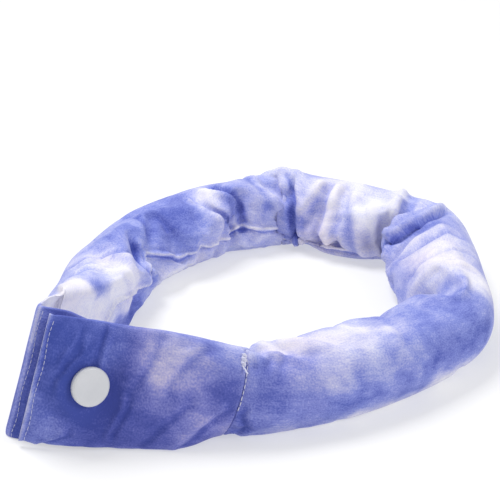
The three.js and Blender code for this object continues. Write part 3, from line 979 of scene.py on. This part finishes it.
def thread(name, points, radius):
    """A round thread through points in metres, as a mesh."""
    curve = bpy.data.curves.new(name, "CURVE")
    curve.dimensions = "3D"
    curve.bevel_depth = radius * MM
    curve.bevel_resolution = 2
    curve.use_fill_caps = True
    spline = curve.splines.new("NURBS")
    spline.points.add(len(points) - 1)
    for point, place in zip(spline.points, points):
        point.co = (*place, 1)
    spline.use_endpoint_u = True
    spline.order_u = 4
    drawn = link_piece(name, curve)
    view = bpy.context.evaluated_depsgraph_get()
    mesh = bpy.data.meshes.new_from_object(drawn.evaluated_get(view))
    bpy.data.objects.remove(drawn)
    mesh.shade_smooth()
    return link_piece(name, mesh)


KNOT_TURNS = 90
KNOT_LENGTH = 4.6
KNOT_WIDTH = 1.9
TURN_STEP = 2.1  # radians from one turn's point to the next
TAIL_POINTS = 6


def tie_knot():
    """A wad of thread wound about a short line down the seam, and a tail that leaves it at its foot."""
    seam_at = seam_facing(0)
    top, out = tube_finder.at(TUBE_START + 0.4, round_share_at(62, seam_at))
    foot, _ = tube_finder.at(TUBE_START + 0.4, round_share_at(25, seam_at))
    down = (foot - top).normalized()
    side = down.cross(out).normalized()
    out = side.cross(down).normalized()
    middle = top + (down * 1.0 + out * 1.7) * MM
    points = []
    for i in range(KNOT_TURNS):
        angle = i * TURN_STEP
        share = (i / (KNOT_TURNS - 1) * 2 % 1) - 0.5
        fat = KNOT_WIDTH * (1 - 1.6 * share * share) * (0.75 + 0.25 * math.sin(i * 1.7))
        swing = side * math.cos(angle) * fat + out * math.sin(angle) * fat * 0.7
        points.append(middle + (swing + down * (share * KNOT_LENGTH + 0.35 * math.sin(i * 3.1))) * MM)
    tail = middle + down * KNOT_LENGTH / 2 * MM
    for i in range(TAIL_POINTS):
        points.append(tail + (side * -0.5 * i + down * (0.5 * i + 0.25 * math.sin(i * 2)) + out * 0.3) * MM)
    return thread("seam_knot", points, THREAD)


knot = tie_knot()
print("knot:", len(knot.data.polygons), "faces")

# %% [markdown]
# ## The snap
# The snap is turned plastic: a cap with a soft raised rim, pressed on each side of the cloth. A half
# profile spun once round its axis makes it, and a full spin merges its own seam.

# %% Find the snap's axis


def snap_axis():
    """The snap's point on the front tab's middle sheet, and the way out of the cloth there."""

    def on_sheet(place, up):
        row = rows_at(rows, place)[0]
        out = outward_at(rows, [place])[0]
        bulge = row[OUT] * math.sqrt(1 - up * up)
        level = row[[X, Y]] + out * bulge + row[[LEAN_X, LEAN_Y]] * up / 2
        point = np.array([level[0], level[1], row[FOOT] + row[HIGH] / 2 * (1 + up)])
        return Vector(turn_at_snap(point[None])[0])

    small = 0.05
    along = on_sheet(SNAP_ROW + small, 0) - on_sheet(SNAP_ROW - small, 0)
    upwards = on_sheet(SNAP_ROW, small) - on_sheet(SNAP_ROW, -small)
    return on_sheet(SNAP_ROW, 0), along.cross(upwards).normalized()


SNAP_AT, SNAP_OUT = snap_axis()
print("the snap faces", [round(x, 2) for x in SNAP_OUT])

# %% Spin the snap's pieces
SNAP_SIDES = 72


def spin_on_snap(name, profile, offset, flip=False):
    """A profile of (radius, height) in millimetres, spun round the snap's axis."""
    bm = bmesh.new()
    corners = [bm.verts.new((radius * MM, 0, height * MM)) for radius, height in profile]
    edges = [bm.edges.new(pair) for pair in zip(corners, corners[1:])]
    profile_line = corners + edges
    bmesh.ops.spin(bm, geom=profile_line, axis=(0, 0, 1), angle=math.tau, steps=SNAP_SIDES, use_merge=True)
    bmesh.ops.remove_doubles(bm, verts=bm.verts, dist=1e-6)
    out = -SNAP_OUT if flip else SNAP_OUT
    turn = Vector((0, 0, 1)).rotation_difference(out).to_matrix().to_4x4()
    at = Vector(in_frame(SNAP_AT + SNAP_OUT * offset))
    bmesh.ops.transform(bm, matrix=Matrix.Translation(at) @ turn, verts=bm.verts)
    bmesh.ops.recalc_face_normals(bm, faces=bm.faces)
    return finish_piece(bm, name)


SHOULDER = 0.95
SHOULDER_STEPS = 8


def cap_profile():
    """A smooth disc with a rounded shoulder and a face that sinks very slightly to its middle."""
    radius = CAP_DIAMETER / 2
    rim = []
    for step in range(SHOULDER_STEPS + 1):
        angle = math.pi / 2 * step / SHOULDER_STEPS
        level = CAP_THICKNESS - SHOULDER + SHOULDER * math.sin(angle)
        rim.append((radius - SHOULDER + SHOULDER * math.cos(angle), level))
    foot = [(0, 0), (radius - 0.5, 0), (radius - 0.08, 0.3)]
    face = [(1.8, 0.05), (3.0, 0.2), (radius, 0.3)]  # how far in from the rim, and how far down
    return [*foot, *rim, *[(radius - inset, CAP_THICKNESS - sunk) for inset, sunk in face]]


def socket_profile():
    """A plain disc with a small chamfer at both of its edges."""
    half = SOCKET_THICKNESS / 2
    flat = SOCKET_RADIUS - CHAMFER
    side = half - CHAMFER
    lower = [(0, -half), (flat, -half), (SOCKET_RADIUS, -side)]
    return [*lower, (SOCKET_RADIUS, side), (flat, half), (0, half)]


SOCKET_RADIUS = 5.25
CHAMFER = 0.5
CAP_SEAT = SHEET / 2 + CLEARANCE
front_cap = spin_on_snap("front_cap", cap_profile(), CAP_SEAT)
rear_cap = spin_on_snap("rear_cap", cap_profile(), -TAB_SPACING - CAP_SEAT, flip=True)
socket = spin_on_snap("socket_and_stud", socket_profile(), -TAB_SPACING / 2)

# %% [markdown]
# ## The dye
# The cotton is tie-dyed by hand: it is bunched, dipped in blue and rinsed, so deep blue and lavender white
# run into each other with feathered edges. Noise alone would put the blue anywhere. So the large patches
# are charted along the sleeve, bent by noise so that their edges feather, and kept as an attribute
# on the mesh. Fine streaks and the weave are added in the material, on the cloth's own UV map, because
# they follow the threads.

# %% Chart the dye
DYE_GROUND = 0.42
# run along the sleeve, facing, half length, half width round it (mm), and how much more blue it is, or less
DYE_PATCHES = [
    (10, 15, 20, 34, 0.58), (31, 20, 6, 30, 0.2), (43, 55, 8, 8, -0.1), (54, 18, 9, 9, -0.12),
    (40, 320, 24, 12, 0.3), (12, 318, 12, 10, -0.2), (66, 5, 12, 7, 0.32), (64, 50, 8, 12, 0.16),
    (25, 285, 20, 5, 0.15), (55, 300, 20, 10, 0.2), (20, 345, 6, 6, 0.15), (88, 30, 9, 16, 0.25),
    (84, 320, 8, 10, 0.3), (110, 85, 26, 6, -0.4), (140, 75, 14, 6, -0.3), (118, 340, 18, 9, 0.25),
    (112, 306, 20, 4, -0.25), (145, 312, 25, 5, -0.4), (122, 35, 10, 8, -0.15), (160, 40, 14, 12, 0.2),
    (168, 80, 10, 6, 0.12), (178, 350, 12, 10, 0.12), (150, 335, 10, 8, 0.22), (178, 318, 14, 5, -0.25),
    (190, 90, 8, 10, 0.12), (185, 20, 14, 12, 0.22), (160, 345, 10, 8, 0.12), (215, 60, 18, 12, -0.3),
    (235, 110, 20, 14, -0.34), (205, 125, 5, 10, 0.15), (250, 60, 10, 8, 0.05),
    (222, 165, 12, 8, -0.12), (275, 85, 3, 9, 0.12), (264, 150, 4, 14, -0.2), (262, 40, 10, 8, -0.05),
    (300, 140, 8, 22, -0.3), (322, 100, 18, 9, -0.3), (322, 190, 22, 12, -0.24),
    (332, 170, 8, 14, -0.2), (328, 150, 2, 12, 0.12), (315, 190, 4, 8, 0.1), (309, 120, 3, 12, 0.12),
    (345, 160, 3, 18, 0.22), (336, 120, 4, 10, 0.04), (352, 130, 5, 14, -0.1), (368, 120, 6, 8, -0.12),
    (385, 150, 4, 16, 0.25), (378, 200, 12, 6, -0.1), (395, 100, 7, 7, -0.45), (375, 225, 20, 6, -0.12),
    (425, 130, 22, 14, 0.24), (410, 110, 6, 8, 0.12), (448, 110, 6, 10, 0.2), (430, 215, 24, 8, -0.3),
    (410, 200, 8, 6, -0.15), (452, 160, 4, 10, 0.25), (462, 70, 10, 8, 0.15), (478, 95, 9, 8, -0.42),
    (484, 150, 12, 9, -0.32), (470, 125, 6, 6, 0.18), (480, 178, 8, 4, -0.25), (507, 122, 5, 5, 0.2),
    (508, 145, 6, 5, 0.12), (516, 175, 12, 10, -0.5), (528, 125, 14, 18, -0.6),
    (528, 70, 14, 10, -0.35), (515, 128, 6, 5, 0.4), (527, 214, 14, 8, 0.5), (495, 165, 8, 8, -0.2),
    (475, 220, 22, 8, 0.3), (505, 215, 15, 8, 0.25), (470, 45, 14, 5, -0.2), (556, 135, 22, 20, -0.4),
    (590, 0, 12, 40, 0.3), (592, 300, 8, 20, 0.1), (600, 180, 20, 30, 0.3), (625, 0, 25, 40, 0.35),
]
# where the dye leans to violet, in the same columns
VIOLET_PATCHES = [
    (34, 30, 8, 30, 0.8), (50, 40, 16, 16, 0.5), (40, 310, 34, 16, 0.9), (70, 340, 20, 16, 0.6),
    (100, 40, 18, 16, 0.4), (330, 185, 22, 20, 0.4), (390, 170, 20, 14, 0.3), (240, 110, 22, 18, 0.3),
    (160, 0, 20, 12, 0.2), (615, 0, 40, 40, 0.5), (500, 215, 20, 8, 0.3),
]
FEATHER_SWINGS = [(26.0, 7.0), (9.0, 3.2), (3.5, 1.2)]  # size of each noise, and how far it moves an edge
FEATHER_APART = Vector((31.4, 7.7, 12.3))  # so that the two ways don't move together
CLOUD_SIZE = 30.0
CLOUD_DYE = 0.16
SEAM_SHADE_AND_HIGHLIGHT = 0.28  # painted shade: the groove under the long seam is coloured darker, and its crest paler as a painted highlight
SEAM_GROOVE = (1.4, 0.55)  # place and half width
SEAM_CREST = (0.0, 0.6)
CREASE_SHADE_AND_HIGHLIGHT = 0.16  # painted shade in the gaps of the creases, and a painted highlight on their crests
CREST_SHARE = 0.6
TIP_EDGE_PALING = 0.35  # the dye is lighter along the folded edges at the tips
EDGE_HALF = 0.9
TAB_TURN = REAR_START + 48
print(len(DYE_PATCHES), "patches of dye")

# %% Write the dye on the cloth


def feathered(points):
    """How far noise moves each point of the chart, in millimetres along and round the sleeve."""
    moved = np.zeros((len(points), 2))
    for size, swing in FEATHER_SWINGS:
        for i, point in enumerate(points):
            place = Vector(point) / (size * MM)
            moved[i, 0] += swing * noise.noise(place)
            moved[i, 1] += swing * noise.noise(place + FEATHER_APART)
    return moved


def charted(patches, ground, run, facing, moved):
    """The sum of soft patches on a ground, at each point of the cloth."""
    total = ground
    for at, middle, half_along, half_round, strength in patches:
        past = run + moved[:, 0] - at
        off = turned_off(facing, middle) / 360 * FLAT_GIRTH + moved[:, 1]
        total = total + strength * np.exp(-((past / half_along) ** 2) - (off / half_round) ** 2)
    return np.clip(total, 0, 1)


def soft_band(distance, place, half):
    return np.exp(-(((distance - place) / half) ** 2))


def dye_cloth_and_paint_shading(piece):
    """Writes how deep the dye is at each point, from 0, undyed, to 1, with painted shade in the seam's groove
    and the creases' gaps and a painted highlight on their crests, and how far it leans to violet.
    """
    mesh = piece.data
    points = points_of(mesh)
    run, facing = facing_of(piece)
    moved = feathered(points)
    clouds = np.array([noise.fractal(Vector(p) / (CLOUD_SIZE * MM), 0.6, 2.1, 4) for p in points])
    depth = charted(DYE_PATCHES, DYE_GROUND + CLOUD_DYE * clouds, run, facing, moved)
    if piece is filled_tube:
        off = seam_offset(cloth_places(piece)[1])
        # painted shade in the groove under the long seam, and a painted highlight on its crest
        depth += SEAM_SHADE_AND_HIGHLIGHT * (soft_band(off, *SEAM_GROOVE) - soft_band(off, *SEAM_CREST))
    if "creased" in mesh.attributes:
        # painted shade in the gaps of the creases, and a painted highlight on their crests
        lift = column(mesh, "creased")
        depth += CREASE_SHADE_AND_HIGHLIGHT * (np.clip(-lift, 0, 1) - CREST_SHARE * np.clip(lift, 0, 1))
    from_edge = np.minimum(run, np.abs(run - TAB_TURN))
    depth = np.clip(depth - TIP_EDGE_PALING * soft_band(from_edge, 0, EDGE_HALF), 0, 1)
    violet = charted(VIOLET_PATCHES, 0.1 + 0.2 * clouds, run, facing, moved)
    # the first attribute holds the dye together with the painted shade and highlight of the seam and the
    # creases
    for name, values in (("dye_and_painted_shading", depth), ("violet", violet)):
        layer = mesh.attributes.new(name, "FLOAT", "POINT")
        layer.data.foreach_set("value", values)
    print(piece.name, "dye from", round(float(depth.min()), 2), "to", round(float(depth.max()), 2))


for piece in (filled_tube, front_tab, rear_tab):
    dye_cloth_and_paint_shading(piece)

# %% [markdown]
# ## Materials
# Three finishes are enough: the dyed cotton, the white sewing thread and the plastic of the snap. An image
# could be painted for each, but a few noises and ramps keep their detail at any distance. The helpers here
# make a material, one step of arithmetic, a noise and the waves of parallel threads.

# %% Helpers for the materials


def linear(red, green, blue):
    """A colour as a screen shows it, 0 to 255, in the linear values that a shader takes."""
    parts = [value / 255 for value in (red, green, blue)]
    return (*[p / 12.92 if p <= 0.04045 else ((p + 0.055) / 1.055) ** 2.4 for p in parts], 1)


def new_material(name):
    material = bpy.data.materials.new(name)
    material.use_nodes = True
    nodes = material.node_tree.nodes
    return material, nodes, material.node_tree.links, nodes["Principled BSDF"]


def maths(nodes, links, operation, first, second, third=None):
    """One step of arithmetic on numbers or on the outputs of other nodes."""
    node = nodes.new("ShaderNodeMath")
    node.operation = operation
    for socket, value in zip(node.inputs, (first, second, third)):
        if isinstance(value, (int, float)):
            socket.default_value = value
        elif value is not None:
            links.new(value, socket)
    return node.outputs["Value"]


def noise_value(nodes, links, coordinates, scale, detail, stretch=(1, 1, 1), swirl=0.0):
    """A noise, stretched along an axis and swirled if asked."""
    mapping = nodes.new("ShaderNodeMapping")
    mapping.inputs["Scale"].default_value = stretch
    links.new(coordinates, mapping.inputs["Vector"])
    texture = nodes.new("ShaderNodeTexNoise")
    texture.inputs["Scale"].default_value = scale
    texture.inputs["Detail"].default_value = detail
    texture.inputs["Distortion"].default_value = swirl
    links.new(mapping.outputs["Vector"], texture.inputs["Vector"])
    return texture.outputs["Fac"]


def threads(nodes, links, coordinates, direction, pitch):
    """Parallel threads, as the crests of a slightly uneven wave."""
    texture = nodes.new("ShaderNodeTexWave")
    texture.bands_direction = direction
    texture.inputs["Scale"].default_value = math.tau / (20 * pitch * MM)
    texture.inputs["Distortion"].default_value = 1.2
    texture.inputs["Detail"].default_value = 1
    links.new(coordinates, texture.inputs["Vector"])
    return texture.outputs["Fac"]


# %% [markdown]
# ### The cotton
# The colour runs from lavender white through periwinkle to deep blue by the charted depth. Long streaks,
# small wisps and the grain of the threads shift the depth before the ramp, so the edge of a patch breaks
# up as dye does in cloth. The violet tint lies over it. The bump has the plain weave: warp and weft,
# whichever is on top.

# %% Tie-dyed cotton
# depth of the dye, and its colour as a screen shows it
DYE_COLOURS = [
    (0.0, (232, 231, 240)), (0.2, (210, 211, 234)), (0.4, (171, 177, 225)), (0.6, (128, 140, 212)),
    (0.8, (89, 103, 187)), (1.0, (62, 79, 164)),
]
THREAD_PITCH = 0.42
STREAKS_SHARE = 0.44
WISPS_SHARE = 0.26
GRAIN_SHARE = 0.48
DEPTH_BACK = 0.56  # what the three noises add on average, taken off again
VIOLET_TINT = (0.95, 0.83, 0.86, 1)


def tie_dyed_cotton():
    """Cotton that reads how deep and how violet its dye is from the mesh, with the painted shade and highlight
    of the seam and the creases in that depth.
    """
    material, nodes, links, shader = new_material("tie-dyed cotton")
    coords = nodes.new("ShaderNodeTexCoord")
    cloth = coords.outputs["UV"]
    # this attribute holds the dye together with the painted shade and highlight of the seam and the creases
    depth = nodes.new("ShaderNodeAttribute")
    depth.attribute_name = "dye_and_painted_shading"
    streaks = noise_value(nodes, links, cloth, 130, 8, stretch=(0.7, 0.9, 1), swirl=0.7)
    wisps = noise_value(nodes, links, cloth, 520, 5, stretch=(0.3, 1, 1), swirl=1.2)
    grain = noise_value(nodes, links, cloth, 1500, 2)
    blue = maths(nodes, links, "MULTIPLY_ADD", streaks, STREAKS_SHARE, depth.outputs["Fac"])
    blue = maths(nodes, links, "MULTIPLY_ADD", wisps, WISPS_SHARE, blue)
    blue = maths(nodes, links, "MULTIPLY_ADD", grain, GRAIN_SHARE, blue)
    blue = maths(nodes, links, "SUBTRACT", blue, DEPTH_BACK)
    ramp = nodes.new("ShaderNodeValToRGB")
    stops = ramp.color_ramp.elements
    while len(stops) < len(DYE_COLOURS):
        stops.new(0.5)
    for stop, (position, colour) in zip(stops, DYE_COLOURS):
        stop.position = position
        stop.color = linear(*colour)
    links.new(blue, ramp.inputs["Fac"])
    violet = nodes.new("ShaderNodeAttribute")
    violet.attribute_name = "violet"
    tint = nodes.new("ShaderNodeMix")
    tint.data_type = "RGBA"
    tint.blend_type = "MULTIPLY"
    tint.inputs["B"].default_value = VIOLET_TINT
    links.new(violet.outputs["Fac"], tint.inputs["Factor"])
    links.new(ramp.outputs["Color"], tint.inputs["A"])
    links.new(tint.outputs["Result"], shader.inputs["Base Color"])
    warp = threads(nodes, links, cloth, "X", THREAD_PITCH)
    weft = threads(nodes, links, cloth, "Y", THREAD_PITCH)
    weave = maths(nodes, links, "MAXIMUM", warp, weft)
    relief = maths(nodes, links, "MULTIPLY_ADD", grain, 1.3, weave)
    bump = nodes.new("ShaderNodeBump")
    bump.inputs["Strength"].default_value = 0.35
    bump.inputs["Distance"].default_value = 0.12 * MM
    links.new(relief, bump.inputs["Height"])
    links.new(bump.outputs["Normal"], shader.inputs["Normal"])
    shader.inputs["Roughness"].default_value = 0.88
    shader.inputs["Specular IOR Level"].default_value = 0.25
    shader.inputs["Sheen Weight"].default_value = 0.12
    shader.inputs["Sheen Roughness"].default_value = 0.5
    return material


cotton = tie_dyed_cotton()
for piece in (filled_tube, front_tab, rear_tab):
    piece.data.materials.append(cotton)
print("cotton on the tube and on both tabs")

# %% [markdown]
# ### Thread and plastic
# The thread took a little of the dye, so it is a pale lavender that changes from stitch to stitch. The
# snap is moulded in pale grey plastic. A faint cloudiness in its colour and its polish keeps it from
# looking like a plain computer shape.

# %% White thread and snap plastic


def spun_thread():
    """White cotton thread with a fine twist."""
    material, nodes, links, shader = new_material("white thread")
    coords = nodes.new("ShaderNodeTexCoord")
    fuzz = noise_value(nodes, links, coords.outputs["Object"], 2500, 3)
    ramp = nodes.new("ShaderNodeValToRGB")
    ramp.color_ramp.elements[0].color = linear(176, 178, 212)
    ramp.color_ramp.elements[1].color = linear(228, 228, 242)
    links.new(fuzz, ramp.inputs["Fac"])
    links.new(ramp.outputs["Color"], shader.inputs["Base Color"])
    shader.inputs["Roughness"].default_value = 0.8
    return material


def snap_plastic():
    """Pale grey moulded plastic with a faint unevenness in its polish."""
    material, nodes, links, shader = new_material("snap plastic")
    coords = nodes.new("ShaderNodeTexCoord")
    cloudy = noise_value(nodes, links, coords.outputs["Object"], 180, 3)
    ramp = nodes.new("ShaderNodeValToRGB")
    ramp.color_ramp.elements[0].color = linear(198, 200, 205)
    ramp.color_ramp.elements[1].color = linear(214, 215, 219)
    links.new(cloudy, ramp.inputs["Fac"])
    links.new(ramp.outputs["Color"], shader.inputs["Base Color"])
    rough = maths(nodes, links, "MULTIPLY_ADD", cloudy, 0.16, 0.26)
    links.new(rough, shader.inputs["Roughness"])
    return material


white_thread = spun_thread()
plastic = snap_plastic()
for piece in (long_seam, cross_seams, hems, knot):
    piece.data.materials.append(white_thread)
for piece in (front_cap, rear_cap, socket):
    piece.data.materials.append(plastic)
print("materials:", ", ".join(material.name for material in (cotton, white_thread, plastic)))

# %% [markdown]
# ## Floor and light
# The wrap lies on a white studio table with hardly a shadow. A white floor alone would show grey under a
# soft light, so it glows a little as well, as a lit table does. A key light stands high behind, and a
# second one at the right skims the front, so that the creases of the tabs show. The world fills in evenly.

# %% The floor
FLOOR_SIZE = 6.0
FLOOR_GREY = 0.45
FLOOR_GLOW = 0.47


def pale_floor():
    """A wide white plane that glows a little."""
    bm = bmesh.new()
    bmesh.ops.create_grid(bm, x_segments=1, y_segments=1, size=FLOOR_SIZE / 2)
    mesh = bpy.data.meshes.new("floor")
    bm.to_mesh(mesh)
    bm.free()
    floor = link_piece("floor", mesh)
    material, nodes, links, shader = new_material("pale floor")
    shader.inputs["Base Color"].default_value = (FLOOR_GREY, FLOOR_GREY, FLOOR_GREY, 1)
    shader.inputs["Roughness"].default_value = 0.9
    shader.inputs["Emission Color"].default_value = (1, 1, 1, 1)
    shader.inputs["Emission Strength"].default_value = FLOOR_GLOW
    floor.data.materials.append(material)
    floor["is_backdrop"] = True


pale_floor()

# %% Lights and world
WORLD_STRENGTH = 0.56


def soft_light(name, location, size, power):
    """A square lamp in metres and watts that looks at the middle of the ring."""
    data = bpy.data.lights.new(name, "AREA")
    data.size = size
    data.energy = power
    light = link_piece(name, data)
    light.location = location
    aim = -Vector(location)
    light.rotation_euler = aim.to_track_quat("-Z", "Y").to_euler()
    print(name, "light of", power, "watts at", location)


soft_light("key", (-0.35, 0.25, 1.0), 0.5, 9)
soft_light("side", (1.0, -0.75, 0.75), 0.5, 5.5)
world = bpy.data.worlds.new("studio")
world.use_nodes = True
world.node_tree.nodes["Background"].inputs["Color"].default_value = (1, 1, 1, 1)
world.node_tree.nodes["Background"].inputs["Strength"].default_value = WORLD_STRENGTH
bpy.context.scene.world = world
bpy.context.scene.view_settings.view_transform = "Standard"

# %% [markdown]
# ## Hanging the pieces on the body
# Each piece is hung on the root body, and the imported solid that it stands for is hidden. The
# stitches and the knot stand for no solid, and are hung on the root body as well.

# %% Ride with the root body and hide the solids
for piece, node, slot in (
    (filled_tube, "padded_tube", "tie_dye_cloth"),
    (front_tab, "front_tab", "tie_dye_cloth"),
    (rear_tab, "rear_tab", "tie_dye_cloth"),
    (front_cap, "front_snap_cap", "snap_plastic"),
    (rear_cap, "rear_snap_cap", "snap_plastic"),
    (socket, "snap_socket", "snap_plastic"),
):
    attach(piece, "root")
    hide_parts(node)
for piece in (long_seam, cross_seams, hems, knot):
    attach(piece, "root")
print("four sewn extras beside the six pieces")

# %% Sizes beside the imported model's, then finish
visual_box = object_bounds()
boxes = {"cad": [list(corner) for corner in cad_box], "visual": [list(corner) for corner in visual_box]}
for name, (low, high) in boxes.items():
    print(name, [round((b - a) / MM, 1) for a, b in zip(low, high)], "mm")
